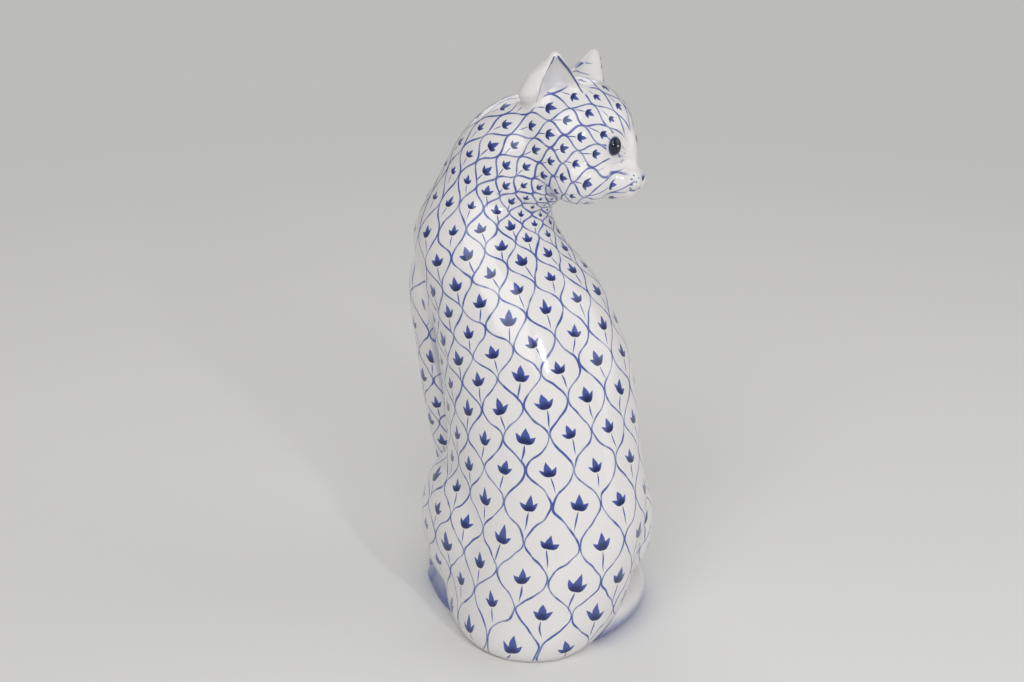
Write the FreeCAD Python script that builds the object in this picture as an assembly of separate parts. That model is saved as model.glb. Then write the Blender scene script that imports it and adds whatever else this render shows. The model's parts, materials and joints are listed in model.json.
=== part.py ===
import FreeCAD, Part
import math
import os
from FreeCAD import Matrix, Placement, Rotation, Vector

# A seated porcelain cat that looks back over its right shoulder.
#
# It is made the way a pottery makes it: a hollow slip-cast body with its haunches and neck, a
# hollow slip-cast head, and solid forelegs, hind feet, ears and tail that are luted on with slip.
# A closing slab with a vent hole shuts the open foot, and modelled eyes and a nose are sprigged on.
# The parts meet face to face, because slip fills each joint before the one firing.
#
# Millimetres, +Z up. The chest faces -Y and the cat's own left side is +X. The origin is the middle
# of the finished figurine's box, on the surface that it stands on.

# ---------------------------------------------------------------- driving dimensions
CAST_WALL = 4.0             # thickness of the cast body and head
HEAD_TURN = 135.0           # how far the head is turned to the right, in degrees
HEAD_ROLL = 6.0             # how far its left side is tipped down, in degrees
UP = Vector(0, 0, 1)

# Body sections, from the foot up to the base of the neck, all level:
# height, lean to the left, back from the axis, half width, half depth, twist of the hips in degrees.
FOOT = (0.0, 8.0, 9.8, 30.5, 47.0, 18.0)
FOOT_ROUNDING = (3.5, 7.8, 9.8, 34.0, 50.5, 18.0)
RUMP_UNDERSIDE = (13.0, 6.2, 10.5, 38.0, 52.0, 14.0)
RUMP = (38.0, 3.0, 12.0, 40.0, 50.5, 6.0)
LOINS = (65.0, 0.5, 10.5, 40.5, 46.0, 0.0)
WAIST = (90.0, 0.5, 5.5, 40.0, 42.0, 0.0)
RIBS = (112.0, 1.2, -0.5, 40.0, 40.5, 0.0)
CHEST = (133.0, 4.5, -8.0, 38.0, 39.5, 0.0)
SHOULDERS = (150.0, 9.6, -16.0, 35.0, 37.0, 0.0)
NECK_BASE = (164.0, 14.4, -21.5, 30.2, 30.5, 0.0)
NECK_COLLAR = (174.0, 13.2, -24.5, 26.5, 27.5, 0.0)
BODY_SECTIONS = (FOOT, FOOT_ROUNDING, RUMP_UNDERSIDE, RUMP, LOINS, WAIST, RIBS, CHEST,
                 SHOULDERS, NECK_BASE, NECK_COLLAR)
BODY_SQUARENESS = 2.15      # power of the body's ovals; 2 is an ellipse, more is squarer

# Where the skull's centre is from the collar's centre.
HEAD_REACH = 36.5           # level, along the neck's heading
HEAD_RISE = 30.0

# Neck sections above the collar: rise, travel towards the head, tilt in degrees, radius.
NECK_BEND = (0.467 * HEAD_RISE, 0.219 * HEAD_REACH, 30.0, 24.2)
NECK_TOP = (0.733 * HEAD_RISE, 0.411 * HEAD_REACH, 45.0, 24.2)
NECK_SEAT = (0.933 * HEAD_RISE, 0.63 * HEAD_REACH, 57.0, 22.0)
NECK_SPIGOT = (HEAD_RISE, 0.904 * HEAD_REACH, 70.0, 15.0)
NECK_SECTIONS = (NECK_BEND, NECK_TOP, NECK_SEAT, NECK_SPIGOT)
NECK_HEADING = Vector(-0.827, 0.562, 0)

# Haunch bulges, one each side of the body.
HAUNCH_SPACING = 30.4
HAUNCH_BACK = 0.0
HAUNCH_HEIGHT = 40.0
HAUNCH_RADII = Vector(19.0, 36.0, 34.0)

# Head, as radii along its own axes: sideways, forwards, up.
SKULL_RADII = Vector(26.0, 25.0, 25.0)
MUZZLE_RADII = Vector(12.0, 12.5, 9.2)
MUZZLE_AHEAD = 18.8
MUZZLE_DROP = 15.0
BRIDGE_RADII = Vector(7.5, 9.0, 15.0)
BRIDGE_AHEAD = 19.0
BRIDGE_DROP = 6.5
CHEEK_RADII = Vector(12.5, 14.0, 11.5)
CHEEK_SPACING = 11.5
CHEEK_AHEAD = 8.0
CHEEK_DROP = 14.5

# Ears: sections from the root to the tip as height, half width, half thickness.
EAR_ROOT = (0.0, 15.2, 8.0)
EAR_MIDDLE = (9.0, 11.8, 6.6)
EAR_UPPER = (16.0, 6.8, 4.4)
EAR_TIP = (21.0, 1.8, 1.5)
EAR_SECTIONS = (EAR_ROOT, EAR_MIDDLE, EAR_UPPER, EAR_TIP)
EAR_SPACING = 14.5
EAR_BEHIND = 4.0
EAR_ROOT_RISE = 14.0        # above the skull's centre
EAR_SPLAY = 22.0            # lean outwards, in degrees
EAR_PRICK = 9.0             # lean ahead, in degrees
EAR_FACING = 55.0           # how far the ear's hollow is turned out from straight ahead, in degrees
EAR_RIM = 2.2               # wall left above the ear's hollow
EAR_HOLLOW_SHARE = 0.72     # the hollow's width, as a share of the ear's
EAR_HOLLOW_SHIFT = 0.16     # how far the hollow sits to the front, in half widths
EAR_SCOOP_AHEAD = 0.8       # how far ahead of the ear its hollow is cut, in half thicknesses

# Eyes and nose.
EYE_RADII = Vector(2.9, 1.7, 3.6)
EYE_TURN = 27.0             # outwards from straight ahead, in degrees
EYE_RISE = -3.0             # below the level of the skull's centre, in degrees
NOSE_RADII = Vector(3.2, 1.8, 2.2)
NOSE_RISE = 6.0             # above the muzzle's centre, in degrees

# Forelegs: sections as height, half spacing, forwards from the axis, half width, half depth.
LEG_CROWN = (160.0, 13.5, 21.0, 14.5, 15.0)
LEG_SHOULDER = (144.0, 19.5, 27.0, 19.0, 19.0)
LEG_UPPER = (128.0, 23.5, 31.0, 17.5, 18.0)
LEG_ELBOW = (108.0, 25.0, 35.0, 15.0, 15.5)
LEG_FOREARM = (86.0, 24.5, 37.5, 12.8, 13.2)
LEG_SHIN = (60.0, 20.5, 39.0, 11.0, 11.5)
LEG_WRIST = (26.0, 16.5, 40.5, 10.0, 10.5)
LEG_ANKLE = (8.0, 16.0, 42.0, 10.2, 11.0)
LEG_SECTIONS = (LEG_CROWN, LEG_SHOULDER, LEG_UPPER, LEG_ELBOW, LEG_FOREARM, LEG_SHIN, LEG_WRIST,
                LEG_ANKLE)
PAW_RADII = Vector(11.0, 13.0, 9.5)
PAW_AHEAD = 46.0
PAW_HEIGHT = 4.5
TOE_RADII = Vector(2.9, 5.0, 4.6)
TOE_COUNT = 4

# Hind feet, flat on the ground beside the foot of the body.
HIND_FOOT_RADII = Vector(9.5, 31.0, 12.0)
HIND_FOOT_SPACING = HAUNCH_SPACING - 0.6    # under the outer side of each haunch
HIND_FOOT_LEAN = 2.0        # both feet stand this far to the left, with the rump
HIND_FOOT_AHEAD = 10.0
HIND_FOOT_HEIGHT = 1.0

# Tail: it lies on the ground round the right side and the front of the body.
TAIL_ROOT_RADIUS = 7.5
TAIL_TIP_RADIUS = 4.4
TAIL_SECTION_COUNT = 18
TAIL_PATH = ((14.0, 44.0), (1.0, 46.5), (-12.5, 42.0), (-26.5, 32.0), (-37.5, 18.0), (-43.0, 3.0),
             (-44.0, -14.0), (-42.0, -30.0), (-35.5, -45.5), (-25.0, -57.0), (-11.0, -64.0),
             (4.0, -66.0))
TAIL_TIP_SHARE = 0.97       # the ball that rounds the tip, as a share of the tail's radius there

# Foot and vents.
SLAB_THICKNESS = 4.0
SLAB_RECESS = 1.8
VENT_RADIUS = 1.8           # lets air out in the kiln

OVAL_POINTS = 16            # points that each oval section is drawn through


# ---------------------------------------------------------------- shape helpers
def oval(centre, half_x, half_y, turn=Rotation(), squareness=2.0):
    """A closed oval section. Every section starts at its own +X side, so a loft doesn't twist."""
    points = []
    for step in range(OVAL_POINTS):
        angle = 2 * math.pi * step / OVAL_POINTS
        x, y = math.cos(angle), math.sin(angle)
        reach = (abs(x) ** squareness + abs(y) ** squareness) ** (-1 / squareness)
        points.append(Vector(half_x * x * reach, half_y * y * reach, 0))
    curve = Part.BSplineCurve()
    curve.interpolate(points, PeriodicFlag=True)
    wire = Part.Wire(curve.toShape())
    wire.Placement = Placement(centre, turn)
    return wire


def loft(sections):
    return Part.makeLoft(sections, True)


def ellipsoid(centre, radii, turn=0.0):
    """A ball stretched to its radii, turned about +Z in degrees, at its centre."""
    stretch = Matrix()
    stretch.scale(radii)
    ball = Part.makeSphere(1.0).transformGeometry(stretch)
    ball.Placement = Placement(centre, Rotation(UP, turn))
    return ball


def largest_solid(shape):
    """The main solid of a boolean result, without any sliver that the cut left beside it."""
    return max(shape.Solids, key=lambda solid: solid.Volume)


def joined(*shapes):
    return largest_solid(shapes[0].multiFuse(list(shapes[1:])))


def less(shape, *tools):
    for tool in tools:
        shape = shape.cut(tool)
    return largest_solid(shape)


def above_ground(shape):
    """The part of a shape that lies on or above the surface it stands on."""
    box = shape.BoundBox
    depth = 50.0
    ground = Part.makeBox(box.XLength + depth, box.YLength + depth, depth,
                          Vector(box.XMin - depth / 2, box.YMin - depth / 2, -depth))
    return less(shape, ground)


def body_lean(height):
    """How far the body leans to the left at a height, between the two nearest sections."""
    for low, high in zip(BODY_SECTIONS, BODY_SECTIONS[1:]):
        if height <= high[0]:
            share = (height - low[0]) / (high[0] - low[0])
            return low[1] + share * (high[1] - low[1])
    return BODY_SECTIONS[-1][1]


# ---------------------------------------------------------------- frames of the neck and the head
COLLAR = Vector(NECK_COLLAR[1], NECK_COLLAR[2], NECK_COLLAR[0])
SKULL = COLLAR + NECK_HEADING * HEAD_REACH + UP * HEAD_RISE
# In the head's own frame +Y is ahead, +X is the cat's right and +Z is up, from the skull's centre.
HEAD = Placement(SKULL, Rotation(UP, 180.0 - HEAD_TURN).multiply(
    Rotation(Vector(0, 1, 0), -HEAD_ROLL)))


def on_head(shape):
    """Moves a shape from the head's own frame to where the head is."""
    placed = shape.copy()
    placed.Placement = HEAD.multiply(shape.Placement)
    return placed


def head_ball(right, ahead, rise, radii, turn=0.0):
    return on_head(ellipsoid(Vector(right, ahead, rise), radii, turn))


def shrunk(radii, wall):
    return Vector(radii.x - wall, radii.y - wall, radii.z - wall)


def skull_surface(turn, rise):
    """Where a line from the skull's centre leaves the skull, turned to the right and raised."""
    turn, rise = math.radians(turn), math.radians(rise)
    way = Vector(math.sin(turn) * math.cos(rise), math.cos(turn) * math.cos(rise), math.sin(rise))
    reach = 1 / math.sqrt((way.x / SKULL_RADII.x) ** 2 + (way.y / SKULL_RADII.y) ** 2
                          + (way.z / SKULL_RADII.z) ** 2)
    return way * reach


# ---------------------------------------------------------------- body casting
def body_loft(inset=0.0, sections=BODY_SECTIONS, neck=NECK_SECTIONS):
    """The body's outside with no inset, or the hollow inside it with the wall as its inset."""
    rings = []
    for height, lean, back, half_width, half_depth, twist in sections:
        rings.append(oval(Vector(lean, back, height), half_width - inset, half_depth - inset,
                          Rotation(UP, -twist), BODY_SQUARENESS))
    for rise, travel, tilt, radius in neck:
        lean = math.radians(tilt)
        normal = NECK_HEADING * math.sin(lean) + UP * math.cos(lean)
        centre = COLLAR + UP * rise + NECK_HEADING * travel
        rings.append(oval(centre, radius - inset, radius - inset, Rotation(UP, normal)))
    return loft(rings)


def haunches(inset=0.0):
    return [above_ground(ellipsoid(Vector(side * HAUNCH_SPACING, HAUNCH_BACK, HAUNCH_HEIGHT),
                                   shrunk(HAUNCH_RADII, inset)))
            for side in (-1, 1)]


def body_outside():
    return joined(body_loft(), *haunches())


def vent_passage():
    """The gas passage from the body's hollow to the head's, along the neck."""
    start = COLLAR + NECK_HEADING * NECK_BEND[1] + UP * (NECK_BEND[0] - 2 * CAST_WALL)
    along = SKULL - start
    return Part.makeCylinder(VENT_RADIUS, along.Length, start, along)


def body_hollow():
    cavity = body_loft(CAST_WALL, neck=NECK_SECTIONS[:1])
    return joined(cavity, *haunches(CAST_WALL))


def body_casting(body, hollow, head):
    return less(body, head, hollow, vent_passage())


def closing_slab(hollow):
    """Fills the open foot of the body, set in a little so that only the foot ring touches down."""
    foot_lean, foot_back = FOOT[1], FOOT[2]
    reach = 2 * max(FOOT[3], FOOT[4])
    layer = Part.makeBox(2 * reach, 2 * reach, SLAB_THICKNESS,
                         Vector(foot_lean - reach, foot_back - reach, SLAB_RECESS))
    vent = Part.makeCylinder(VENT_RADIUS, SLAB_RECESS + 2 * SLAB_THICKNESS,
                             Vector(foot_lean, foot_back, 0))
    return less(hollow.common(layer), vent)


# ---------------------------------------------------------------- head casting
def head_outside():
    parts = [head_ball(0, 0, 0, SKULL_RADII),
             head_ball(0, MUZZLE_AHEAD, -MUZZLE_DROP, MUZZLE_RADII),
             head_ball(0, BRIDGE_AHEAD, -BRIDGE_DROP, BRIDGE_RADII)]
    for side in (-1, 1):
        parts.append(head_ball(side * CHEEK_SPACING, CHEEK_AHEAD, -CHEEK_DROP, CHEEK_RADII))
    return joined(*parts)


def head_casting(head):
    cavity = head_ball(0, 0, 0, shrunk(SKULL_RADII, CAST_WALL))
    return less(head, cavity, vent_passage())


def ear(side, head):
    """One ear: an oval cone with a scooped hollow that faces outwards and ahead."""
    right = -side
    axis = Vector(right * math.tan(math.radians(EAR_SPLAY)), math.tan(math.radians(EAR_PRICK)), 1)
    facing = Rotation(UP, -right * EAR_FACING)
    root = Vector(right * EAR_SPACING, -EAR_BEHIND, EAR_ROOT_RISE)
    rings, scoop = [], []
    for height, half_width, half_thickness in EAR_SECTIONS:
        rings.append(oval(root + axis * height, half_width, half_thickness, facing))
    for height, half_width, half_thickness in EAR_SECTIONS:
        ahead = facing.multVec(Vector(0, EAR_SCOOP_AHEAD * half_thickness, 0))
        to_front = facing.multVec(Vector(-right * EAR_HOLLOW_SHIFT * half_width, 0, 0))
        centre = root + axis * (height - EAR_RIM) + ahead + to_front
        scoop.append(oval(centre, EAR_HOLLOW_SHARE * half_width, half_thickness, facing))
    return less(on_head(loft(rings).cut(loft(scoop))), head)


def eye(side, head):
    """A low glazed dome on the skull, half sunk where the eye socket is."""
    spot = skull_surface(-side * EYE_TURN, EYE_RISE)
    return less(head_ball(*spot, EYE_RADII, side * EYE_TURN), head)


def nose(head):
    rise = math.radians(NOSE_RISE)
    ahead = MUZZLE_AHEAD + MUZZLE_RADII.y * math.cos(rise)
    up = MUZZLE_RADII.z * math.sin(rise) - MUZZLE_DROP
    return less(head_ball(0, ahead, up, NOSE_RADII), head)


# ---------------------------------------------------------------- legs and feet
def toes(centre, radii):
    """A row of toes along the front of a foot, which spans the foot's width."""
    row = []
    for place in range(TOE_COUNT):
        share = (place + 0.5) / TOE_COUNT * 2 - 1
        sideways = share * (radii.x - TOE_RADII.x / 2)
        ahead = radii.y * math.sqrt(1 - share ** 2)
        row.append(ellipsoid(centre + Vector(sideways, -ahead + TOE_RADII.y / 2, 0), TOE_RADII))
    return row


def foreleg(side, body, head):
    """One foreleg with its shoulder and paw. It leans with the body above the chest."""
    rings = []
    for height, spacing, ahead, half_width, half_depth in reversed(LEG_SECTIONS):
        lean = body_lean(height)
        rings.append(oval(Vector(lean + side * spacing, -ahead, height), half_width, half_depth))
    ankle_height, ankle_spacing = LEG_ANKLE[:2]
    paw = Vector(body_lean(ankle_height) + side * ankle_spacing, -PAW_AHEAD, PAW_HEIGHT)
    leg = joined(loft(rings), ellipsoid(paw, PAW_RADII), *toes(paw, PAW_RADII))
    return less(above_ground(leg), body, head)


def hind_foot(side, *neighbours):
    middle = Vector(HIND_FOOT_LEAN + side * HIND_FOOT_SPACING, -HIND_FOOT_AHEAD, HIND_FOOT_HEIGHT)
    foot = joined(ellipsoid(middle, HIND_FOOT_RADII),
                  *toes(middle + UP * (PAW_HEIGHT - HIND_FOOT_HEIGHT), HIND_FOOT_RADII))
    return less(above_ground(foot), *neighbours)


# ---------------------------------------------------------------- tail
def tail(*neighbours):
    """A tapering roll of clay on the ground, from behind the body round to its front."""
    path = Part.BSplineCurve()
    path.interpolate([Vector(x, y, 0) for x, y in TAIL_PATH])
    rings = []
    for step in range(TAIL_SECTION_COUNT):
        share = step / (TAIL_SECTION_COUNT - 1)
        place = path.FirstParameter + share * (path.LastParameter - path.FirstParameter)
        radius = TAIL_ROOT_RADIUS + share * (TAIL_TIP_RADIUS - TAIL_ROOT_RADIUS)
        along = path.tangent(place)[0]
        upright = Rotation(Vector(), UP, along, "ZYX")
        rings.append(oval(path.value(place) + UP * radius, radius, radius, upright))
    tip = Part.makeSphere(TAIL_TIP_RADIUS * TAIL_TIP_SHARE,
                          path.value(path.LastParameter) + UP * TAIL_TIP_RADIUS)
    return less(joined(loft(rings), tip), *neighbours)


# ---------------------------------------------------------------- assembly
def build():
    """Every piece by its node's name, in the frame that the sections are given in."""
    body = body_outside()
    head = head_outside()
    hollow = body_hollow()
    pieces = {
        "body_casting": body_casting(body, hollow, head),
        "head_casting": head_casting(head),
        "closing_slab": closing_slab(hollow),
        "nose": nose(head),
    }
    sides = {"left": 1, "right": -1}
    for name, side in sides.items():
        pieces[name + "_ear"] = ear(side, head)
        pieces[name + "_eye"] = eye(side, head)
        pieces[name + "_foreleg"] = foreleg(side, body, head)
    forelegs = [pieces["left_foreleg"], pieces["right_foreleg"]]
    for name, side in sides.items():
        pieces[name + "_hind_foot"] = hind_foot(side, body, *forelegs)
    feet = forelegs + [pieces["left_hind_foot"], pieces["right_hind_foot"]]
    pieces["tail"] = tail(body, *feet)
    return pieces


def centred(pieces):
    """Moves every piece so that the whole figurine's box is centred on the origin."""
    box = FreeCAD.BoundBox()
    for piece in pieces.values():
        box.add(piece.optimalBoundingBox())
    shift = Vector(-box.Center.x, -box.Center.y, -box.ZMin)
    return {name: piece.translated(shift) for name, piece in pieces.items()}


os.makedirs("parts", exist_ok=True)
for name, piece in centred(build()).items():
    piece.exportStep(os.path.join("parts", name + ".step"))
    box = piece.optimalBoundingBox()
    print(f"{name:18} {piece.ShapeType:6} valid {piece.isValid()} volume {piece.Volume:9.1f} "
          f"x {box.XMin:6.1f} {box.XMax:6.1f} y {box.YMin:6.1f} {box.YMax:6.1f} "
          f"z {box.ZMin:6.1f} {box.ZMax:6.1f}")
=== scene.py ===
import json
import math

import bpy
import numpy as np
from mathutils import Matrix, Vector
from mathutils.bvhtree import BVHTree

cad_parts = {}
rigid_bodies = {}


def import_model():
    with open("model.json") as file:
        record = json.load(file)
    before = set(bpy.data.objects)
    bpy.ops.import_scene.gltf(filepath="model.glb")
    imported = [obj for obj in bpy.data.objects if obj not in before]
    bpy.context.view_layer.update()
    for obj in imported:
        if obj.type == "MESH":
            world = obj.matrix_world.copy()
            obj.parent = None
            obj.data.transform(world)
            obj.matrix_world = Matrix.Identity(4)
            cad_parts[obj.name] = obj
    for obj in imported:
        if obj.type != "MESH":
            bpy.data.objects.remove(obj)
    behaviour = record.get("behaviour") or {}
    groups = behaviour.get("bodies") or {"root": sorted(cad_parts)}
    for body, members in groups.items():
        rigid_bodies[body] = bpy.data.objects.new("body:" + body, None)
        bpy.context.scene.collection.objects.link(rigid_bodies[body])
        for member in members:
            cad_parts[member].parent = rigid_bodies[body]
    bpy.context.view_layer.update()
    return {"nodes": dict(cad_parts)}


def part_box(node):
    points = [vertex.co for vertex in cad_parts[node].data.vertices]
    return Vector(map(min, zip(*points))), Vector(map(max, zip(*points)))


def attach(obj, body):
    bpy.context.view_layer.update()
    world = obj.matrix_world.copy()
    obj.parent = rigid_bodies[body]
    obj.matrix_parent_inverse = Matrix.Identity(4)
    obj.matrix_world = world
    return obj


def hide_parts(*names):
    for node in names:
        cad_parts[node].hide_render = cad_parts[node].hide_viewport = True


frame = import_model()
MM = 0.001

# ---------------------------------------------------------------- Body, neck, head, ears, forelegs
# A hollow porcelain casting with its head, ears and forelegs luted on before the one firing. Slip
# and glaze run into every joint, so the castings read as one skin with soft creases. The modeller
# presses the eye sockets and muzzle pads into it, and it is painted in cobalt under the glaze.
SKIN_CASTINGS = ("body_casting", "head_casting", "left_ear", "right_ear",
                 "left_foreleg", "right_foreleg")
SKIN_GRAIN = 1.05 * MM          # spacing of the skin's points
SLAB_LOW, SLAB_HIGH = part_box("closing_slab")
FOOT_MIDDLE = (SLAB_LOW + SLAB_HIGH) / 2
FOOT_TWIST = math.radians(-18.0)
CREASE_PASSES = 30              # how far slip has run into the joints
EAR_FOOT_PASSES = 140           # and round the ears' feet
EAR_SMEAR_PASSES = 50           # how far the ears' feet are smeared in
EAR_REACH = 9.0 * MM            # how far round an ear its foot is worked in
EAR_TIP_PINCH = 0.28            # share taken off the width of an ear's tip
EAR_FRONT_CURVE = 1.3           # how far an ear's front edge curves in, mm
LEG_GROOVE = 4.0                # depth of the groove behind each foreleg, mm
LEG_GROOVE_REACH = 3.5 * MM     # how near the foreleg and the body both are in it
FLAT_UNDER = 0.6 * MM           # points as low as this stand on the ground
# Height of the middle above the ground, and half measures: across, along and up.
FOOT_PLUG = (3.5 * MM, (29.0 * MM, 45.5 * MM, 3.5 * MM))
FOOT_OPENING = (5.5 * MM, (27.5 * MM, 44.0 * MM, 6.5 * MM))


def clay_copy(name, castings):
    """Merged copies of the castings, joined as one new object and left selected."""
    bpy.ops.object.select_all(action="DESELECT")
    for casting in castings:
        copy = bpy.data.objects.new(name, frame["nodes"][casting].data.copy())
        copy.data.materials.clear()
        bpy.context.scene.collection.objects.link(copy)
        copy.select_set(True)
        bpy.context.view_layer.objects.active = copy
    bpy.ops.object.mode_set(mode="EDIT")
    bpy.ops.mesh.select_all(action="SELECT")
    bpy.ops.mesh.remove_doubles(threshold=0.01 * MM)
    bpy.ops.object.mode_set(mode="OBJECT")
    if len(castings) > 1:
        bpy.ops.object.join()
    clay = bpy.context.view_layer.objects.active
    clay.name = clay.data.name = name
    return clay


def points_of(piece):
    flat = np.empty(len(piece.data.vertices) * 3)
    piece.data.vertices.foreach_get("co", flat)
    return flat.reshape(-1, 3)


def normals_of(piece):
    flat = np.empty(len(piece.data.vertices) * 3)
    piece.data.vertex_normals.foreach_get("vector", flat)
    return flat.reshape(-1, 3)


def move_points(piece, points):
    piece.data.vertices.foreach_set("co", points.ravel())
    piece.data.update()


def even_skin(clay, grain):
    """Covers a clay form with one even skin, and keeps only the skin that is outermost."""
    bpy.ops.object.select_all(action="DESELECT")
    clay.select_set(True)
    bpy.context.view_layer.objects.active = clay
    cover = clay.modifiers.new("skin", "REMESH")
    cover.mode = "VOXEL"
    cover.voxel_size = grain
    bpy.ops.object.modifier_apply(modifier=cover.name)
    highest = int(points_of(clay)[:, 2].argmax())
    bpy.ops.object.mode_set(mode="EDIT")
    bpy.ops.mesh.select_mode(type="VERT")
    bpy.ops.mesh.select_all(action="DESELECT")
    bpy.ops.object.mode_set(mode="OBJECT")
    clay.data.vertices[highest].select = True
    bpy.ops.object.mode_set(mode="EDIT")
    bpy.ops.mesh.select_linked()
    bpy.ops.mesh.select_all(action="INVERT")
    bpy.ops.mesh.delete(type="VERT")
    bpy.ops.object.mode_set(mode="OBJECT")


def neighbours(piece):
    """The two ends of every edge, and how many edges meet at each point."""
    ends = np.empty(len(piece.data.edges) * 2, dtype=np.int64)
    piece.data.edges.foreach_get("vertices", ends)
    a, b = ends.reshape(-1, 2).T
    count = len(piece.data.vertices)
    return a, b, np.maximum(np.bincount(a, minlength=count) + np.bincount(b, minlength=count), 1)


def around_mean(values, a, b, valence):
    count = len(valence)
    return (np.bincount(a, values[b], count) + np.bincount(b, values[a], count)) / valence


def spread(values, joins, passes, share):
    """Draws each point's value towards its neighbours' by the share at every pass."""
    for _ in range(passes):
        values = (1 - share) * values + share * around_mean(values, *joins)
    return values


def pull_on(points, joins):
    """From each point to the middle of its neighbours."""
    return np.stack([around_mean(points[:, axis], *joins) for axis in range(3)], 1) - points


def soften(piece, passes):
    """Takes the steps off a skin. A push back on every other pass keeps it from shrinking."""
    joins = neighbours(piece)
    points = points_of(piece)
    for step in range(passes):
        points += pull_on(points, joins) * (0.5 if step % 2 == 0 else -0.52)
    move_points(piece, points)


def fill_creases(piece, passes, where):
    """Raises only what lies lower than its surroundings, as slip and glaze run into a joint."""
    joins = neighbours(piece)
    points = points_of(piece)
    for step in range(passes):
        if step % 6 == 0:
            move_points(piece, points)
            normals = normals_of(piece)
        rise = np.clip((pull_on(points, joins) * normals).sum(axis=1), 0, None)
        points += (0.5 * where * rise)[:, None] * normals
    move_points(piece, points)


def smear(piece, passes, where):
    """Draws the skin taut between its surroundings, as a wet thumb smears a joint away."""
    joins = neighbours(piece)
    points = points_of(piece)
    for _ in range(passes):
        points += (0.5 * where)[:, None] * pull_on(points, joins)
    move_points(piece, points)


def on_castings(points, castings, reach):
    """1 where a point lies on one of the castings, and 0 from the reach away."""
    near = np.zeros(len(points))
    for casting in castings:
        mesh = frame["nodes"][casting].data
        tree = BVHTree.FromPolygons([vertex.co for vertex in mesh.vertices],
                                    [tuple(face.vertices) for face in mesh.polygons])
        low, high = (np.array(corner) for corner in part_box(casting))
        inside = ((points > low - reach) & (points < high + reach)).all(axis=1)
        for index in np.flatnonzero(inside):
            distance = tree.find_nearest(points[index], reach)[3]
            if distance is not None:
                near[index] = max(near[index], 1 - distance / reach)
    return near


def smooth_step(values, start, end):
    share = np.clip((values - start) / (end - start), 0, 1)
    return share * share * (3 - 2 * share)


# The face's own axes, in millimetres from midway between the eyes: right, ahead, up.
eyes = {side: sum(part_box(side + "_eye"), Vector()) / 2 for side in ("left", "right")}
FACE_MIDDLE = (eyes["left"] + eyes["right"]) / 2
FACE_RIGHT = (eyes["right"] - eyes["left"]).normalized()
FACE_AHEAD = Vector((0, 0, 1)).cross(FACE_RIGHT).normalized()
FACE_UP = FACE_RIGHT.cross(FACE_AHEAD)
FACE_AXES = Matrix((FACE_RIGHT, FACE_AHEAD, FACE_UP))


def on_face(points):
    return (points - np.array(FACE_MIDDLE)) @ np.array(FACE_AXES).T / MM


def off_face(places):
    return (places * MM) @ np.array(FACE_AXES) + np.array(FACE_MIDDLE)


def seen_from(places, middle, right, ahead, up):
    """Places in millimetres as seen in a flat drawing: to the right, towards one, and up."""
    return (places - np.array(middle)) @ np.array((right, ahead, up)).T


def keep_places(piece, name, places):
    field = piece.data.attributes.new(name, "FLOAT_VECTOR", "POINT")
    field.data.foreach_set("vector", places.astype(np.float32).ravel())


# Both sides of the head are painted alike, so a place is taken on the cat's right.
EYE_SPOT = (11.4, 0.2, 0.0)
EYE_TURN = math.radians(27.0)
EAR_FOOT = (14.5, -26.2, 15.3)
EAR_TURN = math.radians(55.0)
EAR_LEAN = (math.tan(math.radians(22.0)), math.tan(math.radians(9.0)), 1.0)


def eye_places(places):
    return seen_from(places, EYE_SPOT, (math.cos(EYE_TURN), -math.sin(EYE_TURN), 0),
                     (math.sin(EYE_TURN), math.cos(EYE_TURN), 0), (0, 0, 1))


def ear_places(places):
    """Across an ear from its middle, out of its hollow, and up from its foot."""
    rise = places[:, 2] - EAR_FOOT[2]
    upright = places - rise[:, None] * np.array((EAR_LEAN[0], EAR_LEAN[1], 0))
    return seen_from(upright, EAR_FOOT, (math.cos(EAR_TURN), -math.sin(EAR_TURN), 0),
                     (math.sin(EAR_TURN), math.cos(EAR_TURN), 0), (0, 0, 1))


def foot_oval(sides, height, measures):
    """An oval cylinder that stands in the body's foot."""
    bpy.ops.object.select_all(action="DESELECT")
    bpy.ops.mesh.primitive_cylinder_add(vertices=sides, radius=1.0, depth=2.0,
                                        location=(FOOT_MIDDLE.x, FOOT_MIDDLE.y, height),
                                        rotation=(0, 0, FOOT_TWIST), scale=measures)
    return bpy.context.object


def mark(piece, name, values):
    """Keeps one number for each of the piece's points, for its material to read."""
    field = piece.data.attributes.new(name, "FLOAT", "POINT")
    field.data.foreach_set("value", values)


# The plug keeps the skin closed under the foot until the opening is cut.
plug = foot_oval(96, *FOOT_PLUG)
bpy.ops.object.transform_apply(location=True, rotation=True, scale=True)
skin = clay_copy("glazed_skin", SKIN_CASTINGS)
plug.select_set(True)
bpy.ops.object.join()
even_skin(skin, SKIN_GRAIN)
soften(skin, 8)
points = points_of(skin)
place = on_face(points)
side = np.sign(place[:, 0])
place[:, 0] *= side
ear_at = ear_places(place)
near_ear = on_castings(points, ("left_ear", "right_ear"), EAR_REACH)
ears = np.clip((near_ear - 0.867) * 16.5, 0, 1)
# The ears are pinched to narrower tips, and their front edges curve in above the foot.
pinch = EAR_TIP_PINCH * ear_at[:, 0] * smooth_step(ear_at[:, 2], 10.0, 19.0)
hollowed = smooth_step(ear_at[:, 2], 1.0, 9.0) * (1 - smooth_step(ear_at[:, 2], 10.0, 18.0))
pinch -= EAR_FRONT_CURVE * hollowed * smooth_step(-ear_at[:, 0], 2.0, 7.0)
pinch *= smooth_step(near_ear, 0.4, 0.9)
place -= pinch[:, None] * np.array((math.cos(EAR_TURN), -math.sin(EAR_TURN), 0))
place[:, 0] *= side
move_points(skin, off_face(place))
paws = smooth_step(-points[:, 1], 30 * MM, 45 * MM) * smooth_step(-points[:, 2], -20 * MM, -12 * MM)
raised = ears * smooth_step(ear_at[:, 2], 3.0, 8.0)
fill_creases(skin, CREASE_PASSES, 1 - 0.9 * raised - 0.75 * paws * (1 - ears))
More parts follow.
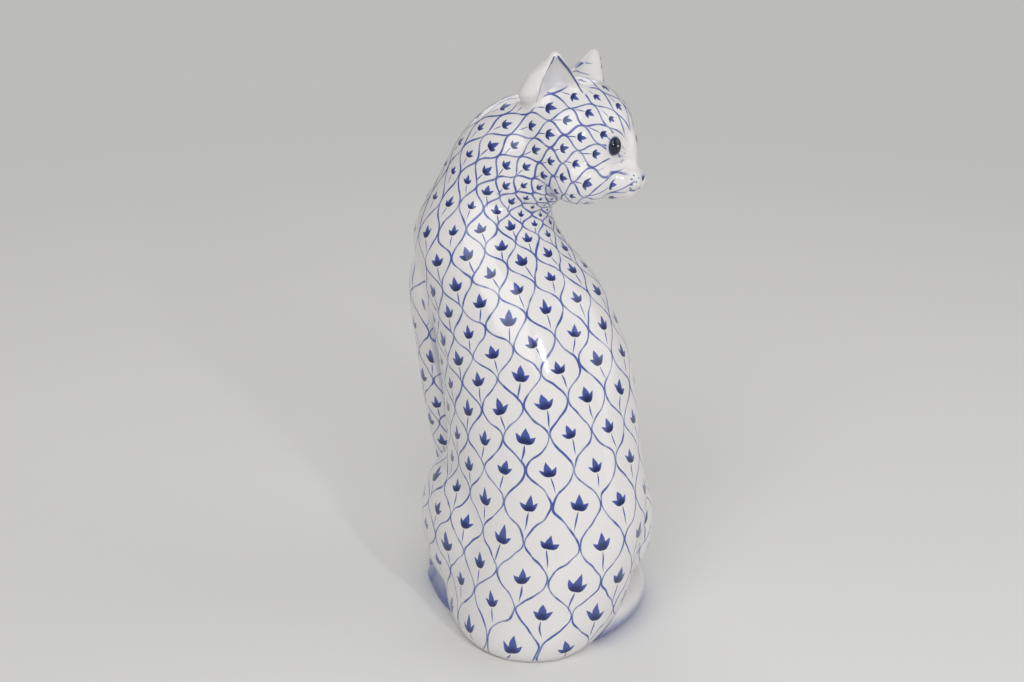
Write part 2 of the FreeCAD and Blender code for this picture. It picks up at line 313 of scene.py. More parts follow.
ear_feet = smooth_step(near_ear, 0.0, 0.35)
fill_creases(skin, EAR_FOOT_PASSES, ear_feet * (1 - smooth_step(ear_at[:, 2], 5.0, 9.0)))
smear(skin, EAR_SMEAR_PASSES, ear_feet * (1 - smooth_step(ear_at[:, 2], 0.5, 4.0)))
# Each foreleg stands clear of the body behind a shallow groove.
points = points_of(skin)
groove = np.minimum(on_castings(points, ("left_foreleg", "right_foreleg"), LEG_GROOVE_REACH),
                    on_castings(points, ("body_casting",), LEG_GROOVE_REACH))
groove = smooth_step(groove, 0.2, 0.8) * smooth_step(points[:, 2], 12 * MM, 30 * MM)
groove *= 1 - smooth_step(points[:, 2], 105 * MM, 135 * MM)
groove *= smooth_step(abs(points[:, 0]), 19 * MM, 27 * MM)
move_points(skin, points - (LEG_GROOVE * MM * groove)[:, None] * normals_of(skin))
soften(skin, 4)
# The groove is kept so that it can be painted darker below, as painted shade.
mark(skin, "groove", groove)

# Where the modeller's thumb and tool press or raise the face, the same on both sides:
# place, reach and height.
FACE_TOUCHES = (
    ((0.0, 1.0, 12.0), (9.0, 9.0, 9.0), 1.4),        # forehead
    ((11.4, 0.5, 0.0), (5.0, 5.0, 5.6), -0.8),       # eye socket
    ((10.0, 2.5, 6.6), (5.0, 4.0, 2.6), 0.5),        # brow
    ((5.2, 7.0, -5.5), (2.6, 4.0, 5.0), -0.8),       # side of the nose bridge
    ((4.6, 7.0, -14.0), (3.4, 4.0, 3.2), 0.9),       # whisker pad
    ((0.0, 9.0, -15.5), (1.0, 4.0, 3.2), -1.0),      # cleft under the nose
    ((3.8, 6.5, -18.3), (4.2, 5.0, 1.1), -0.9),      # mouth
    ((0.0, 4.5, -21.0), (3.6, 4.0, 2.2), 0.6),       # chin
)
points, normals = points_of(skin), normals_of(skin)
place = on_face(points)
place[:, 0] = abs(place[:, 0])
for spot, reach, height in FACE_TOUCHES:
    away = (((place - np.array(spot)) / np.array(reach)) ** 2).sum(axis=1)
    points += (height * MM * np.exp(-away))[:, None] * normals
move_points(skin, points)
soften(skin, 4)
points = points_of(skin)
points[points[:, 2] < FLAT_UNDER, 2] = 0
move_points(skin, points)

# The foot is open: the closing slab sits up inside its ring.
foot_cut = foot_oval(128, *FOOT_OPENING)
bpy.context.view_layer.objects.active = skin
opening = skin.modifiers.new("foot", "BOOLEAN")
opening.operation = "DIFFERENCE"
opening.solver = "EXACT"
opening.object = foot_cut
bpy.ops.object.modifier_apply(modifier=opening.name)
bpy.data.objects.remove(foot_cut)

# The painter's lines of growth, which the lattice runs along and round. The first runs from under
# the foot up the back, over the nape and out at the nose, and one more runs up each foreleg. Each
# place is x, y, z and the girth's radius there, in millimetres.
GROWTH_LINE = (
    (8.3, 13.7, -20, 47), (8.3, 13.7, 0, 47), (3.3, 15.9, 38, 47), (0.8, 13.9, 65, 44),
    (0.8, 9.4, 90, 41), (1.5, 3.4, 112, 40), (4.8, -4.1, 133, 39), (9.3, -11.1, 150, 36),
    (12.8, -16.1, 165, 31), (12.3, -18.1, 180, 27), (5.3, -14.1, 194, 25), (-5.7, -7.1, 202, 25),
    (-16.7, -0.1, 204, 25), (-26.7, 9.9, 202, 21), (-35.7, 18.9, 198, 11), (-49.7, 32.9, 192, 5))
# The forelegs' middle line, its distance to each side of that line, and the girth.
LEG_LINE = ((7.6, 16.0, -39, -15, 10.6), (7.6, 16.0, -38.1, 2, 10.6), (4.8, 16.5, -36.6, 26, 10.3),
            (1.3, 20.5, -35.1, 60, 11.3), (0.8, 24.5, -33.6, 86, 13.0),
            (1.4, 25.0, -31.1, 108, 15.2), (4.0, 23.5, -27.1, 128, 17.7),
            (8.1, 19.5, -23.1, 144, 19.0), (13.3, 13.5, -17.1, 160, 15.0),
            (13.3, 13.5, -12.0, 180, 15.0))
BODY_COLUMNS, LEG_COLUMNS = 28, 10  # even, so that the lattice meets itself behind
ROW_RISE = 2.55                 # a row's height, in columns' widths
LEG_SIDES = {"left_foreleg": 1, "right_foreleg": -1}
LEG_REACH = 1.6 * MM            # how far off a foreleg its own lattice reaches
MOSTLY = 0.4                    # from this share on, a place belongs to the foreleg
BEND_BLEND = 7.0                # how softly the nearest place on the line is picked, mm


def growth_samples(controls, steps=14):
    """A smooth line drawn by its control points."""
    rows = []
    controls = np.array(controls, dtype=float)
    for a, b, c, d in zip(controls, controls[1:], controls[2:], controls[3:]):
        for t in np.arange(steps) / steps:
            rows.append(((1 - t) ** 3 * a + (3 * t ** 3 - 6 * t ** 2 + 4) * b
                         + (-3 * t ** 3 + 3 * t ** 2 + 3 * t + 1) * c + t ** 3 * d) / 6)
    return np.array(rows)


def grow_along(controls, columns, points, normals):
    """Each point's place round a line and along it, how squarely it faces out, and its spoke."""
    line = growth_samples(controls)
    ways = np.gradient(line[:, :3], axis=0)
    ways /= np.linalg.norm(ways, axis=1)[:, None]
    sides = np.empty_like(ways)
    side = np.array((0.0, 1.0, 0.0))
    for index, way in enumerate(ways):
        side = side - way * (side @ way)
        side /= np.linalg.norm(side)
        sides[index] = side
    crossings = np.cross(ways, sides)
    steps = np.linalg.norm(np.diff(line[:, :3], axis=0), axis=1)
    row_heights = ROW_RISE * 2 * math.pi * (line[1:, 3] + line[:-1, 3]) / 2 / columns
    rows_along = np.concatenate(((0,), np.cumsum(steps / row_heights)))
    marks = np.arange(len(line))
    nearest = np.empty(len(points))
    for start in range(0, len(points), 20000):
        some = points[start:start + 20000]
        gaps = ((some[:, None, :] - line[None, :, :3]) ** 2).sum(axis=2)
        weights = np.exp(-(gaps - gaps.min(axis=1)[:, None]) / (2 * BEND_BLEND ** 2))
        nearest[start:start + 20000] = (weights * marks).sum(axis=1) / weights.sum(axis=1)

    def at_nearest(table):
        return np.stack([np.interp(nearest, marks, table[:, axis]) for axis in range(3)], 1)

    spokes = points - at_nearest(line[:, :3])
    across = (spokes * at_nearest(crossings)).sum(axis=1)
    along_side = (spokes * at_nearest(sides)).sum(axis=1)
    column = columns * np.arctan2(across, along_side) / (2 * math.pi)
    outwards = (spokes * normals).sum(axis=1) / np.maximum(np.linalg.norm(spokes, axis=1), 1)
    return column, np.interp(nearest, marks, rows_along), outwards, np.hypot(across, along_side)


points, normals = points_of(skin) / MM, normals_of(skin)
column, row, outwards, spoke = grow_along(GROWTH_LINE, BODY_COLUMNS, points, normals)
corners = np.empty(len(skin.data.loops), dtype=np.int64)
skin.data.loops.foreach_get("vertex_index", corners)
starts = np.empty(len(skin.data.polygons), dtype=np.int64)
sizes = np.empty(len(skin.data.polygons), dtype=np.int64)
skin.data.polygons.foreach_get("loop_start", starts)
skin.data.polygons.foreach_get("loop_total", sizes)
face_of = np.repeat(np.arange(len(starts)), sizes)
column_at, row_at, turns_at = column[corners], row[corners], np.full(len(corners), BODY_COLUMNS)
on_leg = np.zeros(len(points))
leg_faces = np.zeros(len(starts), dtype=bool)
for casting, side in LEG_SIDES.items():
    share = on_castings(points * MM, (casting,), LEG_REACH)
    controls = [(middle + side * apart, y, z, girth) for middle, apart, y, z, girth in LEG_LINE]
    leg_column, leg_row, leg_outwards, _ = grow_along(controls, LEG_COLUMNS, points, normals)
    mostly = np.bincount(face_of, share[corners]) / sizes > MOSTLY
    leg_faces |= mostly
    chosen = mostly[face_of]
    column_at = np.where(chosen, leg_column[corners], column_at)
    row_at = np.where(chosen, leg_row[corners], row_at)
    turns_at = np.where(chosen, LEG_COLUMNS, turns_at)
    outwards = np.where(share > MOSTLY, leg_outwards, outwards)
    on_leg = np.maximum(on_leg, share)
firsts = np.repeat(starts, sizes)
column_at = column_at + turns_at * np.round((column_at[firsts] - column_at) / turns_at)
growth = skin.data.uv_layers.new(name="growth")
growth.uv.foreach_set("vector", np.stack((column_at, row_at), 1).ravel())

# How wide a column and how high a row is on the surface itself, so that brush lines keep
# their width wherever the lattice is drawn.
origin, edge_1, edge_2 = (points[corners[starts + step]] for step in range(3))
edge_1, edge_2 = edge_1 - origin, edge_2 - origin
face_way = np.cross(edge_1, edge_2)
face_size = np.maximum((face_way ** 2).sum(axis=1), 1e-6)
joins = neighbours(skin)
faces_round = np.maximum(np.bincount(corners, minlength=len(points)), 1)
spacing = {}
for name, values in (("column_width", column_at), ("row_height", row_at)):
    slope = (((values[starts + 1] - values[starts])[:, None] * np.cross(edge_2, face_way)
              + (values[starts + 2] - values[starts])[:, None] * np.cross(face_way, edge_1))
             / face_size[:, None])
    steepness = np.linalg.norm(slope, axis=1)
    steepness = np.bincount(corners, np.repeat(steepness, sizes), len(points)) / faces_round
    spacing[name] = 1 / np.maximum(spread(steepness, joins, 6, 0.5), 0.01)

place = on_face(points * MM)
place[:, 0] = abs(place[:, 0])
near_ear = on_castings(points * MM, ("left_ear", "right_ear"), 4.0 * MM)
ears = np.clip((near_ear - 0.7) * 7.3, 0, 1)
painted = smooth_step(outwards, 0.1, 0.35) * smooth_step(points[:, 2], 1.0, 2.5)
painted *= 1 - smooth_step(near_ear, 0.5, 0.62)
chin = (place / np.array((7.0, 9.0, 6.0)) - np.array((0, 0.55, -3.5))) ** 2
painted *= smooth_step(chin.sum(axis=1), 0.8, 1.2)
painted *= 1 - smooth_step(on_leg, 0.3, 0.5) * smooth_step(-points[:, 2], -19, -13)
painted *= 1 - smooth_step(place[:, 1], -2, 4) * (1 - smooth_step(spoke, 9.5, 12.5))
# No sprig is painted across the edge where a leg's lattice meets the body's.
leg_share = np.bincount(corners, leg_faces[face_of], len(points)) / faces_round
edge = spread(leg_share * (1 - leg_share), joins, 14, 0.6)
sprigged = 1 - smooth_step(edge, 0.004, 0.016)
# Glaze pools where the skin is hollow, and the hollows are also painted darker as painted shade.
glaze_pool_and_shade = spread((pull_on(points, joins) * normals).sum(axis=1), joins, 30, 0.6)
glaze_pool_and_shade = smooth_step(glaze_pool_and_shade, 0.004, 0.03) * (1 - 0.5 * ears)
# The groove behind each foreleg is painted darker still, as painted shade.
groove = np.empty(len(points))
skin.data.attributes["groove"].data.foreach_get("value", groove)
glaze_pool_and_shade = np.maximum(glaze_pool_and_shade, groove)
for name, values in (*spacing.items(), ("painted", painted), ("sprigged", sprigged),
                     ("glaze_pool_and_shade", glaze_pool_and_shade)):
    mark(skin, name, values)
keep_places(skin, "face_place", on_face(points * MM))
keep_places(skin, "eye_place", eye_places(place))
keep_places(skin, "ear_place", ear_places(place))
facing = normals @ np.array(FACE_AXES).T
facing[:, 0] *= np.where(on_face(points * MM)[:, 0] < 0, -1, 1)
out_of_ear = facing[:, 0] * math.sin(EAR_TURN) + facing[:, 1] * math.cos(EAR_TURN)
mark(skin, "in_ear", np.clip(ears * 1.5, 0, 1) * smooth_step(out_of_ear, -0.25, 0.25))
mark(skin, "behind_ear", ears * smooth_step(-out_of_ear, 0.3, 0.6))


class Wiring:
    """Adds shader nodes to one tree and joins them up."""

    def __init__(self, tree):
        self.tree = tree

    def feed(self, socket, value):
        if isinstance(value, bpy.types.NodeSocket):
            self.tree.links.new(value, socket)
        else:
            socket.default_value = value

    def node(self, kind, inputs=(), **settings):
        node = self.tree.nodes.new("ShaderNode" + kind)
        for name, value in settings.items():
            setattr(node, name, value)
        for key, value in dict(inputs).items():
            self.feed(node.inputs[key], value)
        return node

    def math(self, operation, *values):
        node = self.node("Math", operation=operation)
        for socket, value in zip(node.inputs, values):
            self.feed(socket, value)
        return node.outputs[0]

    def total(self, *values):
        result = values[0]
        for value in values[1:]:
            result = self.math("ADD", result, value)
        return result

    def product(self, *values):
        result = values[0]
        for value in values[1:]:
            result = self.math("MULTIPLY", result, value)
        return result

    def less(self, a, b):
        return self.math("SUBTRACT", a, b)

    def length(self, x, y):
        return self.math("SQRT", self.total(self.product(x, x), self.product(y, y)))

    def off_oval(self, x, half_width, y, half_height):
        """0 in the middle of an oval and 1 on its edge."""
        return self.math("SQRT", self.total(
            self.math("POWER", self.math("DIVIDE", x, half_width), 2.0),
            self.math("POWER", self.math("DIVIDE", y, half_height), 2.0)))

    def strongest(self, *values):
        result = values[0]
        for value in values[1:]:
            result = self.math("MAXIMUM", result, value)
        return result

    def fade(self, value, start, end, low=0.0, high=1.0):
        """Smoothly from low at the start to high at the end."""
        return self.node("MapRange", {0: value, 1: start, 2: end, 3: low, 4: high},
                         interpolation_type="SMOOTHSTEP").outputs[0]

    def blend(self, share, a, b):
        """Colour a, with colour b over it by its share."""
        node = self.node("Mix", data_type="RGBA", blend_type="MIX")
        self.feed(node.inputs[0], share)
        self.feed(node.inputs[6], a)
        self.feed(node.inputs[7], b)
        return node.outputs[2]

    def noise(self, vector, scale, detail=2.0, roughness=0.5):
        return self.node("TexNoise", {"Vector": vector, "Scale": scale, "Detail": detail,
                                      "Roughness": roughness}).outputs["Fac"]

    def parts(self, vector):
        return self.node("SeparateXYZ", {0: vector}).outputs

    def group(self, tree, **inputs):
        node = self.node("Group", node_tree=tree)
        for name, value in inputs.items():
            self.feed(node.inputs[name.replace("_", " ")], value)
        return node.outputs


def effect(name, inputs, outputs):
    """An empty node group with named inputs and outputs, and the wiring that fills it."""
    tree = bpy.data.node_groups.new(name, "ShaderNodeTree")
    for label, value in inputs.items():
        kind = "NodeSocketFloat" if isinstance(value, float) else "NodeSocketVector"
        socket = tree.interface.new_socket(label, in_out="INPUT", socket_type=kind)
        if isinstance(value, float):
            socket.default_value = value
    for label in outputs:
        tree.interface.new_socket(label, in_out="OUTPUT", socket_type="NodeSocketFloat")
    entry, leaving = tree.nodes.new("NodeGroupInput"), tree.nodes.new("NodeGroupOutput")
    return tree, Wiring(tree), entry.outputs, leaving.inputs


# One leaf-shaped touch of a loaded brush: round where it lands and drawn out to a point.
leaf_touch, w, given, result = effect(
    "leaf_touch", {"X": 0.0, "Y": 0.0, "Turn": 0.0, "Length": 4.0, "Half Width": 1.0},
    ("Touch", "Along"))
sine, cosine = w.math("SINE", given["Turn"]), w.math("COSINE", given["Turn"])
along = w.total(w.product(given["X"], sine), w.product(given["Y"], cosine))
aside = w.math("ABSOLUTE", w.less(w.product(given["X"], cosine), w.product(given["Y"], sine)))
share = w.math("DIVIDE", along, given["Length"])
inside = w.node("Clamp", {0: share}).outputs[0]
belly = w.math("SINE", w.product(w.math("POWER", inside, 0.72), math.pi))
w.feed(result["Touch"], w.fade(w.less(w.product(belly, given["Half Width"]), aside), -0.02, 0.2))
w.feed(result["Along"], share)

# One thin pull of the brush in a flat drawing, from one place to another.
brush_line, w, given, result = effect(
    "brush_line", {"X": 0.0, "Y": 0.0, "From X": 0.0, "From Y": 0.0, "To X": 0.0, "To Y": 0.0,
                   "From Width": 0.3, "To Width": 0.3}, ("Touch",))
run_x, run_y = w.less(given["To X"], given["From X"]), w.less(given["To Y"], given["From Y"])
off_x, off_y = w.less(given["X"], given["From X"]), w.less(given["Y"], given["From Y"])
run = w.total(w.product(run_x, run_x), w.product(run_y, run_y))
share = w.node("Clamp", {0: w.math("DIVIDE", w.total(w.product(off_x, run_x),
                                                     w.product(off_y, run_y)), run)}).outputs[0]
gap_x, gap_y = w.less(off_x, w.product(run_x, share)), w.less(off_y, w.product(run_y, share))
gap = w.length(gap_x, gap_y)
half = w.total(given["From Width"],
               w.product(w.less(given["To Width"], given["From Width"]), share))
w.feed(result["Touch"], w.fade(gap, w.total(half, 0.12), w.less(half, 0.1)))

# A lattice of pointed ovals, drawn as wavy upright lines that lean together and apart in turn,
# with a three-leaf sprig in each oval.
SWING = 0.475                   # how far a line leans to each side, in columns
# The sprig's touches: turn, length and half width. The last is its long stalk.
SPRIG = ((0.0, 6.2, 1.5), (0.8, 4.8, 1.05), (-0.8, 4.8, 1.05), (math.pi, 7.6, 0.4))
ogee_lattice, w, given, result = effect(
    "ogee_lattice", {"Column": 0.0, "Row": 0.0, "Column Width": 8.0, "Row Height": 22.0,
                     "Line Half Width": 0.3}, ("Line", "Bleed", "Leaf", "Load"))
column, row = given["Column"], given["Row"]
width, height = given["Column Width"], given["Row Height"]
step = w.math("FLOOR", column)
odd = w.math("PINGPONG", step, 1.0)
sign = w.less(1.0, w.product(odd, 2.0))
within = w.less(column, step)
turn = w.product(row, 2 * math.pi)
swing = w.product(w.math("SINE", turn), sign, SWING)
slant = w.math("DIVIDE", w.product(w.math("COSINE", turn), width, SWING * 2 * math.pi), height)
off_left = w.math("ABSOLUTE", w.less(within, swing))
off_right = w.math("ABSOLUTE", w.less(w.less(1.0, swing), within))
off_line = w.math("DIVIDE", w.product(w.math("MINIMUM", off_left, off_right), width),
                  w.math("SQRT", w.total(1.0, w.product(slant, slant))))
half = given["Line Half Width"]
w.feed(result["Line"], w.fade(off_line, w.total(half, 0.12), w.less(half, 0.12)))
w.feed(result["Bleed"], w.fade(off_line, 1.1, 0.1))
# Each sprig stands where its oval is widest, and no two are painted quite alike.
middle = w.total(0.5, w.product(sign, 0.25))
cell = w.math("ROUND", w.less(row, middle))
chance = w.node("TexWhiteNoise", {"Vector": w.node("CombineXYZ", {0: step, 1: cell}).outputs[0]},
                noise_dimensions="3D").outputs["Color"]
lean, push, swell = w.parts(chance)
room = w.math("MINIMUM", width, w.product(height, 0.42))
size = w.product(w.math("POWER", w.math("DIVIDE", room, 8.5), 0.75), w.fade(swell, 0, 1, 0.9, 1.12))
x = w.math("DIVIDE", w.product(w.less(within, w.fade(push, 0, 1, 0.45, 0.55)), width), size)
y = w.math("DIVIDE", w.product(w.less(w.less(row, middle), cell), height), size)
y = w.total(y, 2.2)
lean = w.fade(lean, 0, 1, -0.26, 0.26)
tips = []
for turned, length, half_width in SPRIG:
    tips.append(w.group(leaf_touch, X=x, Y=y, Turn=w.total(lean, turned), Length=length,
                        Half_Width=half_width))
w.feed(result["Leaf"], w.strongest(*(tip["Touch"] for tip in tips)))
from_base = w.length(x, y)
w.feed(result["Load"], w.product(w.fade(from_base, 3.6, 1.3), w.fade(y, -1.4, -0.6)))

# Cobalt and glaze, as linear colours.
GLAZE_WHITE = (0.79, 0.772, 0.765, 1)
# Bluish grey for the hollows: pooled glaze, darkened further as painted shade.
GLAZE_POOL_AND_SHADE = (0.42, 0.44, 0.53, 1)
COBALT_WASH = (0.06, 0.098, 0.36, 1)
COBALT_DENSE = (0.006, 0.01, 0.075, 1)
BISQUE = (0.66, 0.62, 0.56, 1)


def glazed_material(name):
    """A new material, its wiring and its shader: clear hard glaze over white porcelain."""
    material = bpy.data.materials.new(name)
    material.use_nodes = True
    w = Wiring(material.node_tree)
    shader = material.node_tree.nodes["Principled BSDF"]
    shader.inputs["Roughness"].default_value = 0.11
    shader.inputs["Coat Weight"].default_value = 0.25
    shader.inputs["Coat Roughness"].default_value = 0.03
    shader.inputs["Subsurface Weight"].default_value = 0.0
    return material, w, shader


def place_kept(w, name):
    return w.parts(w.node("Attribute", attribute_name=name).outputs["Vector"])


def marked(w, name):
    return w.node("Attribute", attribute_name=name).outputs["Fac"]


def finish_glaze(w, shader, height, colour):
    """Feeds a glazed colour in, and wipes the face that the cat stands on clean to the bisque."""
    bare = w.fade(height, 0.3, 0.1)
    w.feed(shader.inputs["Base Color"], w.blend(bare, colour, BISQUE))
    w.feed(shader.inputs["Roughness"], w.total(0.1, w.product(bare, 0.6)))
    w.feed(shader.inputs["Coat Weight"], w.less(0.25, w.product(bare, 0.25)))


material, w, shader = glazed_material("painted_porcelain")
place = w.node("TexCoord").outputs["Object"]
growth_at = w.parts(w.node("UVMap", uv_map="growth").outputs[0])
eye_at = place_kept(w, "eye_place")
round_eye = w.off_oval(eye_at[0], 3.05, eye_at[2], 3.75)
by_eye = w.fade(w.math("ABSOLUTE", eye_at[1]), 6.0, 4.0)
round_socket = w.product(w.fade(round_eye, 1.5, 1.36), by_eye)
painted_at = w.product(marked(w, "painted"), w.less(1.0, round_socket))
unsteady = w.node("TexNoise", {"Vector": place, "Scale": 90.0, "Detail": 1.0})
wobble = w.parts(unsteady.outputs["Color"])
column = w.total(growth_at[0], w.product(w.less(wobble[0], 0.5), 0.36))
row = w.total(growth_at[1], w.product(w.less(wobble[1], 0.5), 0.15))
flow = w.noise(place, 160.0, 2.0)
brush = w.fade(flow, 0.3, 0.7, 0.24, 0.46)
lattice = w.group(ogee_lattice, Column=column, Row=row, Column_Width=marked(w, "column_width"),
                  Row_Height=marked(w, "row_height"), Line_Half_Width=brush)
line_share = w.product(lattice["Line"], w.fade(flow, 0.25, 0.65, 0.7, 1.0), painted_at)
leaf_share = w.product(lattice["Leaf"], painted_at, marked(w, "sprigged"))
# Hollows and the forelegs' grooves take a bluish grey: pooled glaze and painted shade.
colour = w.blend(w.product(marked(w, "glaze_pool_and_shade"), 0.5), GLAZE_WHITE, GLAZE_POOL_AND_SHADE)
colour = w.blend(w.product(lattice["Bleed"], painted_at, 0.07), colour, COBALT_WASH)
colour = w.blend(line_share, colour, COBALT_WASH)
leaf_colour = w.blend(w.total(w.product(lattice["Load"], 0.85),
                              w.product(w.less(flow, 0.5), 0.3)), COBALT_WASH, COBALT_DENSE)
colour = w.blend(leaf_share, colour, leaf_colour)

# The ears' edges, a touch behind each ear, the mouth, the whisker dots and the eyes' outlines.
EAR_LINES = ((1.2, 19.0, 3.8, 13.8, 0.3, 0.2), (3.8, 13.8, 6.6, 6.8, 0.2, 0.14),
             (6.6, 6.8, 8.0, 1.0, 0.14, 0.08), (-0.6, 19.2, -4.6, 14.6, 0.4, 0.55),
             (-4.6, 14.6, -9.0, 8.2, 0.55, 0.4), (-9.0, 8.2, -12.0, 2.5, 0.4, 0.15))
EAR_BACK_LINES = ((-2.0, 15.6, -6.5, 15.2, 0.2, 0.08), (5.0, 11.0, 0.0, 12.2, 0.15, 0.22),
                  (0.0, 12.2, -6.5, 11.0, 0.22, 0.1), (6.0, 7.5, 1.0, 9.0, 0.2, 0.1))
MOUTH_LINES = ((0.0, -15.0, 0.0, -17.0, 0.3, 0.4), (0.0, -17.0, 2.2, -18.2, 0.4, 0.35),
               (2.2, -18.2, 5.0, -17.9, 0.35, 0.3), (5.0, -17.9, 7.4, -16.4, 0.3, 0.1))
WHISKER_DOTS = ((4.6, -12.6), (6.2, -11.6), (5.8, -14.2), (7.5, -13.0), (7.2, -15.4))
EYE_LINES = ((-2.5, -2.6, -3.9, -4.9, 0.4, 0.1), (2.4, 2.4, 4.4, 3.9, 0.4, 0.1))


def drawn(w, x, y, lines):
    """All the brush lines of one flat drawing."""
    touches = []
    for from_x, from_y, to_x, to_y, from_width, to_width in lines:
        touches.append(w.group(brush_line, X=x, Y=y, From_X=from_x, From_Y=from_y, To_X=to_x,
                               To_Y=to_y, From_Width=from_width, To_Width=to_width)["Touch"])
    return w.strongest(*touches)


ear_at, face_at = place_kept(w, "ear_place"), place_kept(w, "face_place")
face_x = w.math("ABSOLUTE", face_at[0])
in_front = w.fade(face_at[1], 1.0, 4.0)
ear_share = w.product(drawn(w, ear_at[0], ear_at[2], EAR_LINES), marked(w, "in_ear"))
back_touch = w.group(leaf_touch, X=w.less(ear_at[0], 4.6), Y=w.less(ear_at[2], 14.0), Turn=-1.35,
                     Length=6.5, Half_Width=1.4)
back_lines = drawn(w, ear_at[0], ear_at[2], EAR_BACK_LINES)
back_share = w.product(w.strongest(back_touch["Touch"], back_lines), marked(w, "behind_ear"))
dots = drawn(w, face_x, face_at[2], [(x, z, x + 0.1, z, 0.34, 0.34) for x, z in WHISKER_DOTS])
mouth = drawn(w, face_x, face_at[2], MOUTH_LINES)
eye_share = w.product(w.strongest(w.fade(round_eye, 1.12, 1.0),
                                  drawn(w, eye_at[0], eye_at[2], EYE_LINES)), by_eye)
colour = w.blend(w.product(w.strongest(dots, mouth), in_front, 0.9), colour, COBALT_WASH)
colour = w.blend(w.product(w.strongest(back_share, w.product(eye_share, 0.95)), 0.9), colour,
                 COBALT_WASH)
colour = w.blend(w.product(ear_share, 0.95), colour, w.blend(0.55, COBALT_WASH, COBALT_DENSE))
# The glaze lies a little unevenly, which bends its reflections.
swell = w.node("Bump", {"Strength": 0.12, "Distance": 0.0006,
                        "Height": w.noise(place, 55.0, 2.0)}).outputs[0]
w.feed(shader.inputs["Normal"], swell)
finish_glaze(w, shader, w.product(w.parts(place)[2], 1000.0), colour)
skin.data.materials.clear()
skin.data.materials.append(material)
bpy.ops.object.select_all(action="DESELECT")
skin.select_set(True)
bpy.context.view_layer.objects.active = skin
bpy.ops.object.shade_smooth_by_angle(angle=math.radians(60))
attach(skin, "root")
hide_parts(*SKIN_CASTINGS)

# ---------------------------------------------------------------- Tail and hind feet
# Solid clay rolls and pads, luted on where the cat rests on the ground. They are left white, with
# a thin cobalt wash along their lower edges.
# Name, casting, spacing of the points, and the height in millimetres above which it is white.
LAID_PIECES = (("laid_tail", "tail", 0.6, 11.0),
               ("resting_left_foot", "left_hind_foot", 0.6, 17.0),
               ("resting_right_foot", "right_hind_foot", 0.6, 17.0))
for name, casting, grain, white_above in LAID_PIECES:
    material, w, shader = glazed_material(name + "_wash")
    place = w.node("TexCoord").outputs["Object"]
    height = w.product(w.parts(place)[2], 1000.0)
    patch = w.noise(place, 70.0, 3.0)
    wash = w.fade(w.total(height, w.product(w.less(patch, 0.5), 5.0)), white_above, 2.5, 0.0, 0.95)
    finish_glaze(w, shader, height, w.blend(wash, GLAZE_WHITE, COBALT_WASH))
    laid = clay_copy(name, (casting,))
    even_skin(laid, grain * MM)
    soften(laid, 10)
    points = points_of(laid)
    points[points[:, 2] < FLAT_UNDER, 2] = 0
    move_points(laid, points)
    laid.data.materials.clear()
    laid.data.materials.append(material)
    bpy.ops.object.shade_smooth_by_angle(angle=math.radians(60))
    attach(laid, "root")
    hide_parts(casting)

# ---------------------------------------------------------------- Closing slab
# A slab of the same clay, luted up inside the foot and left unglazed, with a vent hole through
# it that lets the air out in the kiln.
GRITTY_BISQUE = (0.55, 0.5, 0.44, 1)
material = bpy.data.materials.new("bisque")
material.use_nodes = True
w = Wiring(material.node_tree)
shader = material.node_tree.nodes["Principled BSDF"]
shader.inputs["Roughness"].default_value = 0.8
place = w.node("TexCoord").outputs["Object"]
grit = w.noise(place, 900.0, 4.0, 0.7)
w.feed(shader.inputs["Base Color"], w.blend(w.fade(grit, 0.35, 0.75), BISQUE, GRITTY_BISQUE))
slab = frame["nodes"]["closing_slab"]
slab.data.materials.clear()
slab.data.materials.append(material)

# ---------------------------------------------------------------- Eyes
# Low domes of clay pressed into the sockets and painted in dense cobalt, with a paler rim and a
# small white spot painted on as a highlight, all under the one glaze.
EYE_RADII = (2.9, 1.7, 3.6)
EYE_SINK = 0.45                 # how far the dome is set back, mm
EYE_BLACK = (0.002, 0.003, 0.018, 1)
EYE_RIM = (0.004, 0.006, 0.05, 1)
material, w, shader = glazed_material("cobalt_eye")
eye_at = place_kept(w, "eye_place")
from_middle = w.off_oval(eye_at[0], EYE_RADII[0], eye_at[2], EYE_RADII[2])
colour = w.blend(w.fade(from_middle, 0.72, 0.95), EYE_BLACK, EYE_RIM)
# The small white spot is a painted highlight.
from_painted_highlight = w.length(w.less(eye_at[0], 0.1), w.less(eye_at[2], 0.3))
w.feed(shader.inputs["Base Color"], w.blend(w.fade(from_painted_highlight, 0.5, 0.25, 0.0, 0.9), colour,
                                            GLAZE_WHITE))
for name, side in (("right_eye", 1), ("left_eye", -1)):
    bpy.ops.object.select_all(action="DESELECT")
    bpy.ops.mesh.primitive_uv_sphere_add(segments=40, ring_count=24, radius=1.0)
    eye = bpy.context.object
    eye.name = eye.data.name = name + "_dome"
    # The sphere's points are stretched, squared up a little at the back and set in the socket.
    ball = points_of(eye) * np.array(EYE_RADII)
    ball[:, 1] = np.where(ball[:, 1] < 0, ball[:, 1] * 1.2, ball[:, 1]) - EYE_SINK
    cosine, sine = math.cos(EYE_TURN), math.sin(EYE_TURN)
    on_right = np.stack((ball[:, 0] * cosine + ball[:, 1] * sine,
                         ball[:, 1] * cosine - ball[:, 0] * sine, ball[:, 2]), 1)
    on_right += np.array(EYE_SPOT)
    keep_places(eye, "eye_place", eye_places(on_right))
    on_right[:, 0] *= side
    move_points(eye, off_face(on_right))
    if side < 0:
        bpy.ops.object.mode_set(mode="EDIT")
        bpy.ops.mesh.select_all(action="SELECT")
        bpy.ops.mesh.normals_make_consistent(inside=False)
        bpy.ops.object.mode_set(mode="OBJECT")
    bpy.ops.object.shade_smooth()
    eye.data.materials.append(material)
    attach(eye, "root")
    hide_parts(name)

